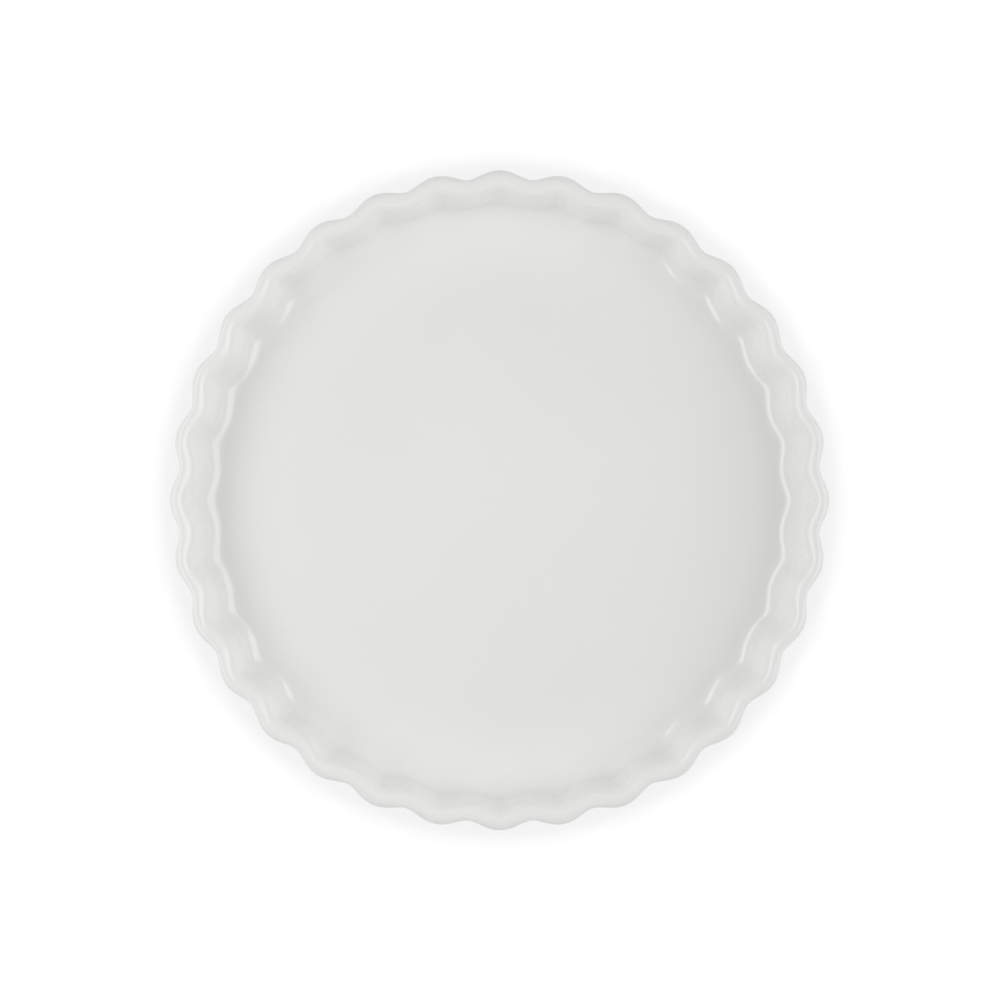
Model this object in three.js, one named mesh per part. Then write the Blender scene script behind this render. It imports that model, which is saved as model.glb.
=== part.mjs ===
// Round fluted tart dish in glazed stoneware: one pressed clay body with a bare foot ring, and the
// white glaze fused over the rest of it, in two areas that the foot ring keeps apart.
// Millimetres, +Z up. The origin is on the table, under the centre of the dish.
import * as THREE from "three";

// Driving dimensions, glaze included
const RIM_DIAMETER = 280; // across opposite flute crests
const HEIGHT = 36; // table to top of rim
const WALL = 7.6; // thickness of the wall under the rim's round top
const WALL_LEAN = 12; // degrees that the wall flares from upright
const RIM_OUTER_ROUND = 2.5; // radius of the rim's outer edge; the inner edge takes the rest of the wall
const FLOOR = 6; // thickness of the floor over the recess
const FLOOR_FILLET = 7; // radius inside, where wall meets floor
const HEEL_ROUND = 6; // radius outside, where wall meets underside

// Flutes, a wave in plan that the wall follows from heel to rim
const FLUTE_COUNT = 32;
const RIM_FLUTE_DEPTH = 3.5; // crest to valley where the rim is widest
const BASE_FLUTE_DEPTH = 1.7; // crest to valley at table level
const FLUTE_FADE = 11; // level distance inwards from the wall in which the flutes die out

// Foot ring and glaze
const FOOT_INSET = 9.5; // level distance from the heel's round to the glaze edge at the foot
const FOOT_WIDTH = 4.5; // flat ring that stands on the table
const FOOT_HEIGHT = 2; // table to glazed underside
const FOOT_FLANK = 35; // degrees that both flanks of the foot lean from upright
const GLAZE = 0.4; // thickness of the fired glaze
const GLAZE_GAP = 0.02; // hairline between the clay and the glaze on it

// Facets
const STEPS_PER_FLUTE = 6;
const PLAIN_STEPS_PER_FLUTE = 2; // for the round rings of the foot
const HEEL_STEPS = 2;
const RIM_OUTER_STEPS = 2;
const RIM_INNER_STEPS = 3;
const FILLET_STEPS = 2;

// Wall section. Both faces of the wall are straight lines that run into round edges, and the two
// edges of the rim meet in its top line.
const lean = THREE.MathUtils.degToRad(WALL_LEAN);
const upright = Math.PI / 2;
const rimInnerRound = WALL - RIM_OUTER_ROUND;
const rimRadius = (RIM_DIAMETER - RIM_FLUTE_DEPTH) / 2;
const topLine = rimRadius - RIM_OUTER_ROUND;
const outerEdge = new THREE.Vector2(topLine, HEIGHT - RIM_OUTER_ROUND);
const innerEdge = new THREE.Vector2(topLine, HEIGHT - rimInnerRound);

// Point at a level, on the line that runs beside the wall at a distance towards the axis from the
// centre of an edge of the rim. The distance is measured square to the wall.
function besideWall(edge, distance, level) {
  const radius = edge.x + (level - edge.y) * Math.tan(lean) - distance / Math.cos(lean);
  return new THREE.Vector2(radius, level);
}

// Radii of the wall's two faces at a level
function outerFace(level) {
  return besideWall(outerEdge, -RIM_OUTER_ROUND, level).x;
}

function innerFace(level) {
  return besideWall(innerEdge, rimInnerRound, level).x;
}

const halfWall = (outerFace(HEIGHT) - innerFace(HEIGHT)) / 2;
const heelCentre = besideWall(outerEdge, HEEL_ROUND - RIM_OUTER_ROUND, FOOT_HEIGHT + HEEL_ROUND);
const filletLevel = FOOT_HEIGHT + FLOOR + FLOOR_FILLET;
const filletCentre = besideWall(innerEdge, FLOOR_FILLET + rimInnerRound, filletLevel);

// Stations round an arc of the section, from one facing to another. Each has its radius, its level
// and the way the surface faces there. A hollow arc has a negative radius.
function arc(centre, radius, from, to, steps) {
  return Array.from({ length: steps + 1 }, (_, step) => {
    const angle = THREE.MathUtils.lerp(from, to, step / steps);
    const facing = new THREE.Vector2(Math.cos(angle), Math.sin(angle));
    return { radius: centre.x + radius * facing.x, level: centre.y + radius * facing.y, facing };
  });
}

// Section of the glazed surface, from heel over rim to floor
const section = [
  ...arc(heelCentre, HEEL_ROUND, -upright, -lean, HEEL_STEPS),
  ...arc(outerEdge, RIM_OUTER_ROUND, 0, upright, RIM_OUTER_STEPS),
  ...arc(innerEdge, rimInnerRound, upright, Math.PI - lean, RIM_INNER_STEPS).slice(1),
  ...arc(filletCentre, -FLOOR_FILLET, Math.PI - lean, upright, FILLET_STEPS),
];

// Points of one ring round the dish. The middle of the wall is a wave in plan, and the ring lies
// beside that wave at its own distance, so that the wall keeps its thickness round every flute.
// A sink moves the ring that far into the dish, square to its surface.
function flutedRing(station, sink) {
  const middle = innerFace(station.level) + halfWall;
  const besideMiddle = THREE.MathUtils.clamp(station.radius - middle, -halfWall, halfWall);
  const inside = Math.max(0, middle - halfWall - station.radius);
  const strength = 1 - THREE.MathUtils.smoothstep(inside, 0, FLUTE_FADE);
  const upWall = Math.min(1, station.level / outerEdge.y);
  const fullDepth = THREE.MathUtils.lerp(BASE_FLUTE_DEPTH, RIM_FLUTE_DEPTH, upWall);
  const swing = (fullDepth * strength) / 2;
  const offset = besideMiddle - sink * station.facing.x;
  const level = station.level - sink * station.facing.y;
  const count = FLUTE_COUNT * STEPS_PER_FLUTE;
  return Array.from({ length: count }, (_, step) => {
    const angle = (2 * Math.PI * step) / count;
    const radius = station.radius - besideMiddle + swing * Math.cos(FLUTE_COUNT * angle);
    const slope = -FLUTE_COUNT * swing * Math.sin(FLUTE_COUNT * angle);
    const lengthwise = Math.hypot(radius, slope);
    const outwards = radius + (offset * radius) / lengthwise;
    const sideways = (-offset * slope) / lengthwise;
    const x = outwards * Math.cos(angle) - sideways * Math.sin(angle);
    const y = outwards * Math.sin(angle) + sideways * Math.cos(angle);
    return new THREE.Vector3(x, y, level);
  });
}

function plainRing(radius, level) {
  const count = FLUTE_COUNT * PLAIN_STEPS_PER_FLUTE;
  return Array.from({ length: count }, (_, step) => {
    const angle = (2 * Math.PI * step) / count;
    return new THREE.Vector3(radius * Math.cos(angle), radius * Math.sin(angle), level);
  });
}

// Triangles of the band between two rings, which may have different numbers of points
function band(first, second) {
  const triangles = [];
  let i = 0;
  let j = 0;
  while (i < first.length || j < second.length) {
    const a = first[i % first.length];
    const b = second[j % second.length];
    if ((i + 1) / first.length <= (j + 1) / second.length) {
      i += 1;
      triangles.push([a, first[i % first.length], b]);
    } else {
      j += 1;
      triangles.push([a, second[j % second.length], b]);
    }
  }
  return triangles;
}

// Triangles over a whole row of rings
function skin(rings) {
  return rings.slice(1).flatMap((ring, index) => band(rings[index], ring));
}

// Triangles of a flat round face that fills a ring and looks up
function disc(ring) {
  const centre = new THREE.Vector3(0, 0, ring[0].z);
  return ring.map((point, index) => [centre, point, ring[(index + 1) % ring.length]]);
}

// The same triangles, seen from their other side
function turned(triangles) {
  return triangles.map(([a, b, c]) => [a, c, b]);
}

function solid(name, color, roughness, triangles) {
  const geometry = new THREE.BufferGeometry().setFromPoints(triangles.flat());
  geometry.computeVertexNormals();
  const material = new THREE.MeshStandardMaterial({ color, roughness, metalness: 0 });
  const mesh = new THREE.Mesh(geometry, material);
  mesh.name = name;
  return mesh;
}

// Foot ring, bare clay between the two edges of the glaze
const glazeBack = FOOT_HEIGHT + GLAZE;
const clayUnderside = glazeBack + GLAZE_GAP;
const flankRun = clayUnderside * Math.tan(THREE.MathUtils.degToRad(FOOT_FLANK));
const outerGlazeEdge = heelCentre.x - FOOT_INSET;
const footOuter = outerGlazeEdge - flankRun;
const footInner = footOuter - FOOT_WIDTH;
const innerGlazeEdge = footInner - flankRun;

// Rings from the foot's outer side over heel and rim to the floor, sunk into the dish
function coatRings(sink) {
  const besideFoot = plainRing(outerGlazeEdge, FOOT_HEIGHT + sink);
  return [besideFoot, ...section.map((station) => flutedRing(station, sink))];
}

// Skin over those rings, with the floor that closes it
function coatSkin(rings) {
  return [...skin(rings), ...disc(rings.at(-1))];
}

const clayRings = coatRings(GLAZE + GLAZE_GAP);
const backRings = coatRings(GLAZE);
const frontRings = coatRings(0);
const clayRecess = plainRing(innerGlazeEdge, clayUnderside);
const recessBack = plainRing(innerGlazeEdge, glazeBack);
const recessFront = plainRing(innerGlazeEdge, FOOT_HEIGHT);
const footRings = [clayRecess, plainRing(footInner, 0), plainRing(footOuter, 0), clayRings[0]];

const clay = [...turned(disc(clayRecess)), ...skin(footRings), ...coatSkin(clayRings)];
const coatEdge = band(backRings[0], frontRings[0]);
const coat = [...turned(coatSkin(backRings)), ...coatEdge, ...coatSkin(frontRings)];
const recessEdge = band(recessFront, recessBack);
const recess = [...turned(disc(recessFront)), ...recessEdge, ...disc(recessBack)];

const group = new THREE.Group();
group.name = "tart_dish";
group.add(
  solid("stoneware_body", 0xd8cfbf, 0.85, clay),
  solid("glaze_coat", 0xe4e4e2, 0.12, coat),
  solid("base_glaze", 0xe2e2df, 0.15, recess),
);

export default group;
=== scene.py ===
"""A white glazed stoneware tart dish, seen from straight above in soft studio light."""
import math

import bpy
import numpy as np
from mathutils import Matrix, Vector


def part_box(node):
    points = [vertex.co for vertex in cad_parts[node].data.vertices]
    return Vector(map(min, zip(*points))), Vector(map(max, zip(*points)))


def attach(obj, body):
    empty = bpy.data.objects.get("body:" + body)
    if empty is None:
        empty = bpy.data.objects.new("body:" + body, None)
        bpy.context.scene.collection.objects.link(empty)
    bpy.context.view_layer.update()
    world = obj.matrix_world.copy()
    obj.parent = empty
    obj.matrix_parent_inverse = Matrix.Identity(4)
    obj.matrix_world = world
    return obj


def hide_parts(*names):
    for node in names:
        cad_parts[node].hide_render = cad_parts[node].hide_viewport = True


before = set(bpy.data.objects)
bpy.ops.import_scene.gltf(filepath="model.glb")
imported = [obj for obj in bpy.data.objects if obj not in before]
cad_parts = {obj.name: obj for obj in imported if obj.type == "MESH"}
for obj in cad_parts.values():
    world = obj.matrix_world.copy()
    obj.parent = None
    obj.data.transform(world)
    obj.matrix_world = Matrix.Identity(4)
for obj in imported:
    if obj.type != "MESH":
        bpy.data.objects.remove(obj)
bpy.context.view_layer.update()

MM = 0.001
UPRIGHT = math.pi / 2

# Sizes that the boxes of the frame's nodes show, in metres
coat_low, coat_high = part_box("glaze_coat")
recess_low, recess_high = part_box("base_glaze")
RIM_DIAMETER = coat_high[0] - coat_low[0]
HEIGHT = coat_high[2]
FOOT_HEIGHT = recess_low[2]
GLAZE = recess_high[2] - recess_low[2]
INNER_GLAZE_EDGE = recess_high[0]

# Wall and floor
GLAZE_GAP = 0.02 * MM  # hairline between the clay and the glaze on it
WALL = 7.6 * MM
WALL_LEAN = math.radians(12)
RIM_OUTER_ROUND = 2.5 * MM
RIM_INNER_DROP = 12 * MM  # from the rim's top line down to the centre of its long inner round
RIM_TOP_SHIFT = 0.4 * MM  # of the rim's top line, outwards
RIM_TOP_SWAY = 0.55 * MM  # of the same line, inwards on crests and outwards in valleys
FLOOR = 6 * MM
FLOOR_FILLET = 7 * MM
FLOOR_FILLET_WIDTH = 8.8 * MM  # along the floor, where the fillet starts more gently
HEEL_ROUND = 6 * MM

# Flutes
FLUTE_COUNT = 32
RIM_FLUTE_DEPTH = 3.5 * MM
BASE_FLUTE_DEPTH = 1.7 * MM
FLUTE_FADE = 11 * MM

# Foot
FOOT_INSET = 9.5 * MM
FOOT_WIDTH = 4.5 * MM
FOOT_FLANK = math.radians(35)
FOOT_EDGE_ROUND = 0.6 * MM

# Fineness of the smooth meshes
STEPS_PER_FLUTE = 16
FINE = 6
COARSE = 2
FLOOR_GRADE = 2  # gathers the floor's rings near the fillet

# Bend of the glaze, as a share from 0 in hollows to 1 on edges
BEND_FLAT = 0.5
BEND_BLUR = 6  # times that it is evened out along the section

# Ranges of a share or of a noise's values, each from where an effect starts to where it is full
WHOLE = (0, 1)
MOST_NOISE = (0.3, 0.7)

# Glaze
GLAZE_COLOUR = (0.84, 0.84, 0.825)
GLAZE_CLOUD = (0.832, 0.832, 0.817)
GLAZE_CLOUD_SIZE = 60 * MM
GLAZE_CLOUD_NOISE = (0.35, 0.65)
# Glaze colour a little darker on edges
GLAZE_EDGE_DARK = (0.787, 0.787, 0.772)
GLAZE_EDGE_DARK_BEND = (0.55, 1)
GLAZE_POOLED = (0.84, 0.84, 0.826)
GLAZE_POOLED_BEND = (0.45, 0.2)
GLAZE_IOR = 1.55
GLAZE_ROUGHNESS = (0.09, 0.14)
GLAZE_GLOSS_SIZE = 25 * MM
GLAZE_WEAR = (0, 0.18)  # roughness added on edges
GLAZE_WEAR_BEND = (0.6, 0.85)
GLAZE_WAVE_SIZE = 14 * MM
GLAZE_WAVE_STRETCH = (1, 1, 2.5)
GLAZE_WAVE_HEIGHT = 0.12 * MM
GLAZE_PEEL_SIZE = 2.2 * MM
GLAZE_PEEL_HEIGHT = 0.012 * MM

# Clay
CLAY_COLOUR = (0.70, 0.62, 0.51)
CLAY_CLOUD = (0.64, 0.57, 0.47)
CLAY_CLOUD_SIZE = 18 * MM
CLAY_GRAIN = (0.56, 0.48, 0.38)
CLAY_GRAIN_SIZE = 0.8 * MM
CLAY_GRAIN_NOISE = (0.45, 0.75)
CLAY_GRAIN_SHARE = (0, 0.6)
CLAY_GRAIN_HEIGHT = 0.06 * MM
CLAY_SPECK = (0.30, 0.23, 0.17)
CLAY_SPECK_SIZE = 1.6 * MM
CLAY_SPECK_NOISE = (0.72, 0.78)
CLAY_SPECK_SHARE = (0, 0.7)
CLAY_SCUFF = (0.42, 0.41, 0.39)
CLAY_SCUFF_SIZE = 6 * MM
CLAY_SCUFF_STRETCH = (1, 1, 4)
CLAY_SCUFF_NOISE = (0.56, 0.72)
CLAY_SCUFF_SHARE = (0, 0.5)
CLAY_ROUGHNESS = (0.78, 0.95)
CLAY_SPECULAR = 0.3

# Light all round, where 1 looks white: low walls, a dim gap above them and a ceiling
WALL_LIGHT = 1.23
WALL_FOOT = math.radians(-1)
WALL_FULL = math.radians(6)
WALL_DIM = math.radians(18)
WALL_TOP = math.radians(32)
GAP_LIGHT = 0.12
CEILING_LIGHT = 0.36
CEILING_DIM = math.radians(45)
CEILING_FULL = math.radians(68)

# Softboxes: azimuth and elevation in degrees, distance, width and height in metres, brightness
LEFT_SOFTBOX = (180, 46, 0.87, 1.0, 0.47, 1.48)
LEFT_CORE = (180, 46, 0.86, 1.0, 0.226, 1.37)
RIGHT_SOFTBOX = (0, 44, 1.5, 1.35, 1.06, 2.03)

# Studio floor, and the soft shadow on it round the dish
STUDIO_SIZE = 12
STUDIO_COLOUR = (0.8, 0.8, 0.8)
BLACK = (0, 0, 0)
FLOOR_CLEARANCE = 0.05 * MM  # under the foot
HALO_REACH = 19 * MM
HALO_OPENNESS = (0.8, 1.0)
HALO_LIGHT = (0.892, 1)

# Photograph
IMAGE_PX = 1000
RIM_PX = 660.2
CENTRE_PX = (-0.4, -0.3)
CAMERA_HEIGHT = 2.0

# Centres of the rim's two round edges in the section, as radius and level
rim_inner_round = WALL - RIM_OUTER_ROUND
top_line = (RIM_DIAMETER - RIM_FLUTE_DEPTH) / 2 - RIM_OUTER_ROUND
outer_edge = np.array((top_line, HEIGHT - RIM_OUTER_ROUND))
inner_edge = np.array((top_line, HEIGHT - rim_inner_round))


def beside_wall(edge, distance, level):
    """Point at a level, on the line beside the wall at a distance inwards from an edge of the rim."""
    radius = edge[0] + (level - edge[1]) * math.tan(WALL_LEAN) - distance / math.cos(WALL_LEAN)
    return np.array((radius, level))


def outer_face(level):
    return beside_wall(outer_edge, -RIM_OUTER_ROUND, level)[0]


def inner_face(level):
    return beside_wall(inner_edge, rim_inner_round, level)[0]


half_wall = (outer_face(HEIGHT) - inner_face(HEIGHT)) / 2
heel_centre = beside_wall(outer_edge, HEEL_ROUND - RIM_OUTER_ROUND, FOOT_HEIGHT + HEEL_ROUND)
outer_glaze_edge = heel_centre[0] - FOOT_INSET
floor_level = FOOT_HEIGHT + FLOOR
clay_sink = GLAZE + GLAZE_GAP
clay_underside = FOOT_HEIGHT + clay_sink


def arc(centre, across, up, start, stop, steps):
    """Stations round a part of an ellipse, whose two half sizes are negative for a hollow.

    A station is a radius, a level, how far the surface faces out and up there, and its bend.
    """
    angles = np.linspace(start, stop, steps + 1)
    facing = np.column_stack((np.cos(angles), np.sin(angles)))
    sizes = np.array((across, up))
    reach = np.hypot(*(sizes * facing).T)[:, None]
    points = np.asarray(centre) + sizes * abs(sizes) * facing / reach
    bend = np.sign(across) * reach**3 / (across * up) ** 2
    return np.hstack((points, facing, bend))


def between(first, last, steps, grade=1):
    """Stations on a straight run, without its two ends. A higher grade puts them nearer the first end."""
    shares = np.linspace(0, 1, steps + 1)[1:-1, None] ** grade
    run = first + (last - first) * shares
    run[:, 4] = 0
    return run


def rim_inner_arc(steps):
    """Long round from the rim's top line into the wall's inner face."""
    across = rim_inner_round + (RIM_INNER_DROP - rim_inner_round) * math.sin(WALL_LEAN)
    width = math.sqrt(across**2 - (RIM_INNER_DROP * math.sin(WALL_LEAN)) ** 2) / math.cos(WALL_LEAN)
    centre = (top_line, HEIGHT - RIM_INNER_DROP)
    return arc(centre, width, RIM_INNER_DROP, UPRIGHT, math.pi - WALL_LEAN, steps)


def fillet_arc(steps):
    """Hollow round from the wall's inner face into the floor."""
    reach = math.hypot(FLOOR_FILLET_WIDTH * math.cos(WALL_LEAN), FLOOR_FILLET * math.sin(WALL_LEAN))
    centre = beside_wall(inner_edge, reach + rim_inner_round, floor_level + FLOOR_FILLET)
    return arc(centre, -FLOOR_FILLET_WIDTH, -FLOOR_FILLET, math.pi - WALL_LEAN, UPRIGHT, steps)


def section(detail):
    """Stations of the glazed surface, from heel over rim to floor."""
    heel = arc(heel_centre, HEEL_ROUND, HEEL_ROUND, -UPRIGHT, -WALL_LEAN, 3 * detail)
    outer = arc(outer_edge, RIM_OUTER_ROUND, RIM_OUTER_ROUND, -WALL_LEAN, UPRIGHT, 3 * detail)
    inner = rim_inner_arc(4 * detail)[1:]
    fillet = fillet_arc(4 * detail)
    floor_centre = np.array((0, floor_level, 0, 1, 0))
    outer_wall = between(heel[-1], outer[0], 3 * detail)
    inner_wall = between(inner[-1], fillet[0], 3 * detail)
    floor = between(fillet[-1], floor_centre, detail, FLOOR_GRADE)
    return np.vstack((heel, outer_wall, outer, inner, inner_wall, fillet, floor))


def round_angles():
    return np.linspace(0, 2 * math.pi, FLUTE_COUNT * STEPS_PER_FLUTE, endpoint=False)


def flute_swing(radius, level):
    """Half the flutes' depth at a station, and the station's distance from the middle of the wall."""
    middle = inner_face(level) + half_wall
    beside = np.clip(radius - middle, -half_wall, half_wall)
    inside = np.clip((middle - half_wall - radius) / FLUTE_FADE, 0, 1)
    strength = 1 - inside * inside * (3 - 2 * inside)
    up_wall = min(1, level / outer_edge[1])
    depth = BASE_FLUTE_DEPTH + (RIM_FLUTE_DEPTH - BASE_FLUTE_DEPTH) * up_wall
    return depth * strength / 2, beside


def fluted_ring(station, sink):
    """Points round the dish at one station, beside the wave of the wall, sunk square to the surface."""
    radius, level, facing_out, facing_up, _ = station
    swing, beside = flute_swing(radius, level)
    angles = round_angles()
    crest = np.cos(FLUTE_COUNT * angles)
    wave = radius - beside + swing * crest
    slope = -FLUTE_COUNT * swing * np.sin(FLUTE_COUNT * angles)
    near_top = np.clip((level - outer_edge[1]) / RIM_OUTER_ROUND, 0, 1) ** 2
    top_shift = near_top * (RIM_TOP_SHIFT - RIM_TOP_SWAY * crest)
    offset = (beside + top_shift - sink * facing_out) / np.hypot(wave, slope)
    outwards = wave + offset * wave
    sideways = -offset * slope
    x = outwards * np.cos(angles) - sideways * np.sin(angles)
    y = outwards * np.sin(angles) + sideways * np.cos(angles)
    return np.column_stack((x, y, np.full_like(x, level - sink * facing_up)))


def plain_ring(radius, level):
    angles = round_angles()
    return np.column_stack((radius * np.cos(angles), radius * np.sin(angles), np.full_like(angles, level)))


def loft(name, rings):
    """Closed smooth mesh over a row of rings, with a point in the middle of each end."""
    count = len(rings[0])
    points = np.vstack([rings[0].mean(axis=0), *rings, rings[-1].mean(axis=0)])
    here = np.arange(count)
    after = np.roll(here, -1)
    end = len(points) - 1
    faces = [(0, b + 1, a + 1) for a, b in zip(here, after)]
    for row in range(len(rings) - 1):
        low = 1 + row * count
        high = low + count
        faces += zip(low + here, low + after, high + after, high + here)
    faces += [(end, end - count + a, end - count + b) for a, b in zip(here, after)]
    mesh = bpy.data.meshes.new(name)
    mesh.from_pydata(points.tolist(), [], [tuple(int(i) for i in face) for face in faces])
    mesh.shade_smooth()
    piece = bpy.data.objects.new(name, mesh)
    bpy.context.collection.objects.link(piece)
    return piece


def bend_shares(stations):
    """Bend of the glaze at the points round each station."""
    crest = np.cos(FLUTE_COUNT * round_angles())
    bends = []
    for radius, level, facing_out, _, bend in stations:
        swing, _ = flute_swing(radius, level)
        flute_bend = swing * (FLUTE_COUNT / radius) ** 2 * facing_out
        bends.append(bend + flute_bend * crest)
    bends = np.array(bends)
    for _ in range(BEND_BLUR):
        bends[1:-1] = (bends[:-2] + 2 * bends[1:-1] + bends[2:]) / 4
    return np.clip(BEND_FLAT + BEND_FLAT * bends * RIM_OUTER_ROUND, 0, 1)


def store_bend(piece, shares=(), rings_before=0):
    """Keeps the bend at each point of a piece. Points that have no share count as flat."""
    values = np.full(len(piece.data.vertices), BEND_FLAT)
    first = 1 + rings_before * FLUTE_COUNT * STEPS_PER_FLUTE
    values[first:first + np.size(shares)] = np.ravel(shares)
    piece.data.attributes.new("bend", "FLOAT", "POINT").data.foreach_set("value", values)


def dress(piece, node, material):
    """The piece stands for a CAD node and wears a material."""
    piece.data.materials.append(material)
    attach(piece, "root")
    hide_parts(node)


def node_material(name):
    """New node material, with its tree and its Principled shader."""
    material = bpy.data.materials.new(name)
    material.use_nodes = True
    return material, material.node_tree, material.node_tree.nodes["Principled BSDF"]


def calculate(tree, operation, first, second):
    node = tree.nodes.new("ShaderNodeMath")
    node.operation = operation
    tree.links.new(first, node.inputs[0])
    tree.links.new(second, node.inputs[1])
    return node.outputs[0]


def noise(tree, size, detail, stretch=(1, 1, 1)):
    """Noise whose features are about this size on the object, drawn out along its axes by stretch."""
    place = tree.nodes.new("ShaderNodeTexCoord")
    mapping = tree.nodes.new("ShaderNodeMapping")
    mapping.inputs["Scale"].default_value = [1 / s for s in stretch]
    tree.links.new(place.outputs["Object"], mapping.inputs["Vector"])
    texture = tree.nodes.new("ShaderNodeTexNoise")
    texture.inputs["Scale"].default_value = 1 / size
    texture.inputs["Detail"].default_value = detail
    tree.links.new(mapping.outputs["Vector"], texture.inputs["Vector"])
    return texture.outputs["Fac"]


def ramp(tree, value, source, target):
    """Value carried from one range to another and held at its ends."""
    node = tree.nodes.new("ShaderNodeMapRange")
    node.inputs["From Min"].default_value = source[0]
    node.inputs["From Max"].default_value = source[1]
    node.inputs["To Min"].default_value = target[0]
    node.inputs["To Max"].default_value = target[1]
    tree.links.new(value, node.inputs["Value"])
    return node.outputs["Result"]


def tint(tree, colour, share, other):
    """Colour mixed towards another by a share. The first colour may be a value or a node's output."""
    node = tree.nodes.new("ShaderNodeMix")
    node.data_type = "RGBA"
    if isinstance(colour, tuple):
        node.inputs["A"].default_value = (*colour, 1)
    else:
        tree.links.new(colour, node.inputs["A"])
    node.inputs["B"].default_value = (*other, 1)
    tree.links.new(share, node.inputs["Factor"])
    return node.outputs["Result"]


def add_bump(tree, shader, height, distance, below=None):
    """Bump of a height in metres, on top of the bump below it."""
    node = tree.nodes.new("ShaderNodeBump")
    node.inputs["Distance"].default_value = distance
    tree.links.new(height, node.inputs["Height"])
    if below:
        tree.links.new(below, node.inputs["Normal"])
    tree.links.new(node.outputs["Normal"], shader.inputs["Normal"])
    return node.outputs["Normal"]


def glaze_material():
    """White glaze: darker on edges, pooled in hollows, softly uneven in colour, gloss and surface."""
    material, tree, shader = node_material("white_glaze")
    attribute = tree.nodes.new("ShaderNodeAttribute")
    attribute.attribute_name = "bend"
    bend = attribute.outputs["Fac"]
    clouds = noise(tree, GLAZE_CLOUD_SIZE, 3)
    colour = tint(tree, GLAZE_COLOUR, ramp(tree, clouds, GLAZE_CLOUD_NOISE, WHOLE), GLAZE_CLOUD)
    # Glaze a little darker on edges, by the bend
    colour = tint(tree, colour, ramp(tree, bend, GLAZE_EDGE_DARK_BEND, WHOLE), GLAZE_EDGE_DARK)
    colour = tint(tree, colour, ramp(tree, bend, GLAZE_POOLED_BEND, WHOLE), GLAZE_POOLED)
    tree.links.new(colour, shader.inputs["Base Color"])
    gloss = ramp(tree, noise(tree, GLAZE_GLOSS_SIZE, 4), MOST_NOISE, GLAZE_ROUGHNESS)
    wear = ramp(tree, bend, GLAZE_WEAR_BEND, GLAZE_WEAR)
    tree.links.new(calculate(tree, "ADD", gloss, wear), shader.inputs["Roughness"])
    shader.inputs["IOR"].default_value = GLAZE_IOR
    waves = noise(tree, GLAZE_WAVE_SIZE, 1, GLAZE_WAVE_STRETCH)
    peel = noise(tree, GLAZE_PEEL_SIZE, 2)
    wave_bump = add_bump(tree, shader, waves, GLAZE_WAVE_HEIGHT)
    add_bump(tree, shader, peel, GLAZE_PEEL_HEIGHT, wave_bump)
    return material


def clay_material():
    """Bare fired clay: warm buff, grainy and matt, scuffed grey where it stands."""
    material, tree, shader = node_material("bare_clay")
    grain = noise(tree, CLAY_GRAIN_SIZE, 4)
    clouds = noise(tree, CLAY_CLOUD_SIZE, 3)
    specks = noise(tree, CLAY_SPECK_SIZE, 1)
    scuffs = noise(tree, CLAY_SCUFF_SIZE, 5, CLAY_SCUFF_STRETCH)
    colour = tint(tree, CLAY_COLOUR, ramp(tree, clouds, MOST_NOISE, WHOLE), CLAY_CLOUD)
    colour = tint(tree, colour, ramp(tree, grain, CLAY_GRAIN_NOISE, CLAY_GRAIN_SHARE), CLAY_GRAIN)
    colour = tint(tree, colour, ramp(tree, specks, CLAY_SPECK_NOISE, CLAY_SPECK_SHARE), CLAY_SPECK)
    colour = tint(tree, colour, ramp(tree, scuffs, CLAY_SCUFF_NOISE, CLAY_SCUFF_SHARE), CLAY_SCUFF)
    tree.links.new(colour, shader.inputs["Base Color"])
    tree.links.new(ramp(tree, grain, MOST_NOISE, CLAY_ROUGHNESS), shader.inputs["Roughness"])
    shader.inputs["Specular IOR Level"].default_value = CLAY_SPECULAR
    add_bump(tree, shader, grain, CLAY_GRAIN_HEIGHT)
    return material


def foot_edge(radius, start, stop):
    """Stations round one of the foot's two lower edges."""
    return arc((radius, FOOT_EDGE_ROUND), FOOT_EDGE_ROUND, FOOT_EDGE_ROUND, start, stop, FINE)


def foot_rings():
    """Rings of the bare foot, from the glaze inside it over its two rounded edges."""
    foot_outer = outer_glaze_edge - clay_underside * math.tan(FOOT_FLANK)
    foot_inner = foot_outer - FOOT_WIDTH
    reach = FOOT_EDGE_ROUND * math.tan((UPRIGHT - FOOT_FLANK) / 2)
    inner = foot_edge(foot_inner + reach, math.pi + FOOT_FLANK, 3 * UPRIGHT)
    outer = foot_edge(foot_outer - reach, 3 * UPRIGHT, 2 * math.pi - FOOT_FLANK)
    edges = [plain_ring(station[0], station[1]) for station in np.vstack((inner, outer))]
    return [plain_ring(INNER_GLAZE_EDGE, clay_underside), *edges]


def glaze_lip(edge, side):
    """Rings of the glaze's round edge beside the foot. Side is 1 where the glaze lies outside its edge."""
    rings = []
    for angle in np.linspace(0, UPRIGHT, FINE + 1):
        radius = edge + side * GLAZE * (1 - math.cos(angle))
        rings.append(plain_ring(radius, FOOT_HEIGHT + GLAZE * (1 - math.sin(angle))))
    return rings


def make_body(stations):
    """Clay under the glaze, bare on the foot."""
    beside_foot = plain_ring(outer_glaze_edge, clay_underside)
    under_glaze = [fluted_ring(station, clay_sink) for station in stations]
    body = loft("dish_body", [*foot_rings(), beside_foot, *under_glaze])
    dress(body, "stoneware_body", clay_material())


def make_coat(back_stations, front_stations, glaze):
    """Glaze over the outside, the rim and the inside, with its hidden back next to the clay."""
    back = [fluted_ring(station, GLAZE) for station in back_stations[::-1]]
    hidden = back + glaze_lip(outer_glaze_edge, 1)
    front = [fluted_ring(station, 0) for station in front_stations]
    coat = loft("dish_glaze", hidden + front)
    store_bend(coat, bend_shares(front_stations), len(hidden))
    dress(coat, "glaze_coat", glaze)


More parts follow.
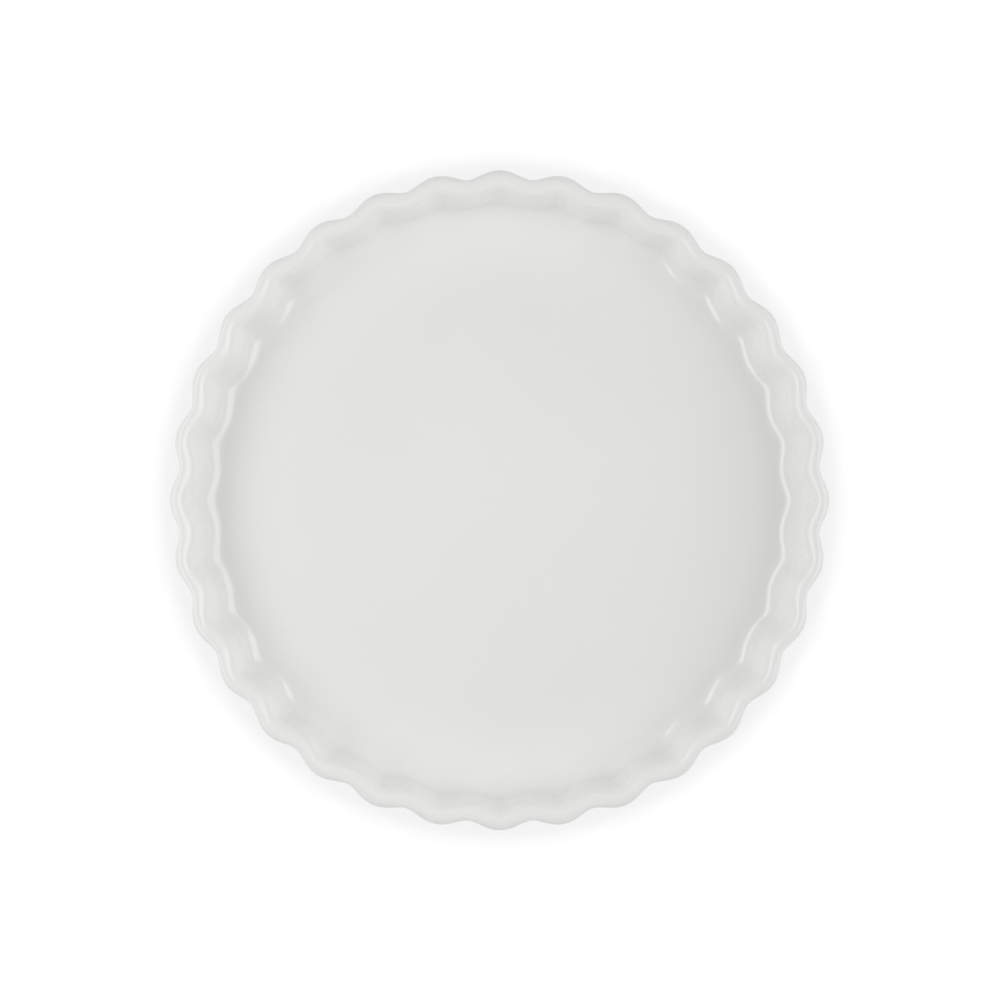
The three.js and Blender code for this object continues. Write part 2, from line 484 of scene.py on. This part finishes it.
def make_recess(glaze):
    """Glaze in the recess under the floor."""
    recess = loft("recess_glaze", glaze_lip(INNER_GLAZE_EDGE, -1)[::-1])
    store_bend(recess)
    dress(recess, "base_glaze", glaze)


def make_dish():
    glaze = glaze_material()
    coarse = section(COARSE)
    make_body(coarse)
    make_coat(coarse, section(FINE), glaze)
    make_recess(glaze)


def seen_directly(tree):
    """Node output that is 1 where the camera sees a surface straight, in a mirror or through glass."""
    path = tree.nodes.new("ShaderNodeLightPath")
    first = calculate(tree, "MAXIMUM", path.outputs["Is Camera Ray"], path.outputs["Is Glossy Ray"])
    return calculate(tree, "MAXIMUM", first, path.outputs["Is Transmission Ray"])


def make_floor():
    """Pale floor that looks white, apart from the close, soft shadow round the dish."""
    bpy.ops.mesh.primitive_plane_add(size=STUDIO_SIZE, location=(0, 0, -FLOOR_CLEARANCE))
    floor = bpy.context.object
    floor.name = "studio_floor"
    material, tree, shader = node_material("studio_white")
    material.cycles.emission_sampling = "NONE"
    seen = seen_directly(tree)
    tree.links.new(tint(tree, STUDIO_COLOUR, seen, BLACK), shader.inputs["Base Color"])
    shader.inputs["Roughness"].default_value = 1
    shader.inputs["Specular IOR Level"].default_value = 0
    # Painted shadow: ambient occlusion dims the floor's glow round the dish
    shelter = tree.nodes.new("ShaderNodeAmbientOcclusion")
    shelter.inputs["Distance"].default_value = HALO_REACH
    shade = ramp(tree, shelter.outputs["AO"], HALO_OPENNESS, HALO_LIGHT)
    shader.inputs["Emission Color"].default_value = (1, 1, 1, 1)
    tree.links.new(calculate(tree, "MULTIPLY", shade, seen), shader.inputs["Emission Strength"])
    floor.data.materials.append(material)


def climb(tree, height, low, high, target):
    """Value that runs over its target's range between two elevations."""
    return ramp(tree, height, (math.sin(low), math.sin(high)), target)


def make_world():
    """Low bright walls all round, a dim gap above them and a soft ceiling. The background looks white."""
    world = bpy.data.worlds.new("studio")
    world.use_nodes = True
    tree = world.node_tree
    background = tree.nodes["Background"]
    background.inputs["Color"].default_value = (1, 1, 1, 1)
    place = tree.nodes.new("ShaderNodeTexCoord")
    parts = tree.nodes.new("ShaderNodeSeparateXYZ")
    tree.links.new(place.outputs["Generated"], parts.inputs["Vector"])
    height = parts.outputs["Z"]
    walls = climb(tree, height, WALL_DIM, WALL_TOP, (WALL_LIGHT, GAP_LIGHT))
    above_foot = climb(tree, height, WALL_FOOT, WALL_FULL, WHOLE)
    ceiling = climb(tree, height, CEILING_DIM, CEILING_FULL, (0, CEILING_LIGHT))
    light = calculate(tree, "ADD", calculate(tree, "MULTIPLY", walls, above_foot), ceiling)
    strength = tree.nodes.new("ShaderNodeMix")
    tree.links.new(light, strength.inputs["A"])
    strength.inputs["B"].default_value = 1
    tree.links.new(seen_directly(tree), strength.inputs["Factor"])
    tree.links.new(strength.outputs["Result"], background.inputs["Strength"])
    bpy.context.scene.world = world


def softbox(name, azimuth, elevation, distance, width, height, brightness):
    """Rectangular light aimed at the dish. A brightness of 1 looks white."""
    light = bpy.data.lights.new(name, "AREA")
    light.shape = "RECTANGLE"
    light.size = width
    light.size_y = height
    light.energy = brightness * math.pi * width * height
    lamp = bpy.data.objects.new(name, light)
    bearing = math.radians(azimuth)
    rise = math.radians(elevation)
    level = math.cos(rise)
    towards = Vector((math.cos(bearing) * level, math.sin(bearing) * level, math.sin(rise)))
    lamp.location = towards * distance
    lamp.rotation_euler = towards.to_track_quat("Z", "Y").to_euler()
    lamp.visible_camera = False
    bpy.context.collection.objects.link(lamp)


def make_camera():
    """Camera straight above the dish, with the rim as large as in the photograph."""
    data = bpy.data.cameras.new("camera")
    camera = bpy.data.objects.new("camera", data)
    camera.location = (0, 0, CAMERA_HEIGHT)
    data.lens = data.sensor_width * (CAMERA_HEIGHT - outer_edge[1]) * RIM_PX / (IMAGE_PX * RIM_DIAMETER)
    data.shift_x = -CENTRE_PX[0] / IMAGE_PX
    data.shift_y = -CENTRE_PX[1] / IMAGE_PX
    bpy.context.collection.objects.link(camera)
    bpy.context.scene.camera = camera


make_camera()
make_dish()
make_floor()
make_world()
softbox("left_softbox", *LEFT_SOFTBOX)
softbox("left_core", *LEFT_CORE)
softbox("right_softbox", *RIGHT_SOFTBOX)
bpy.context.scene.view_settings.view_transform = "Standard"
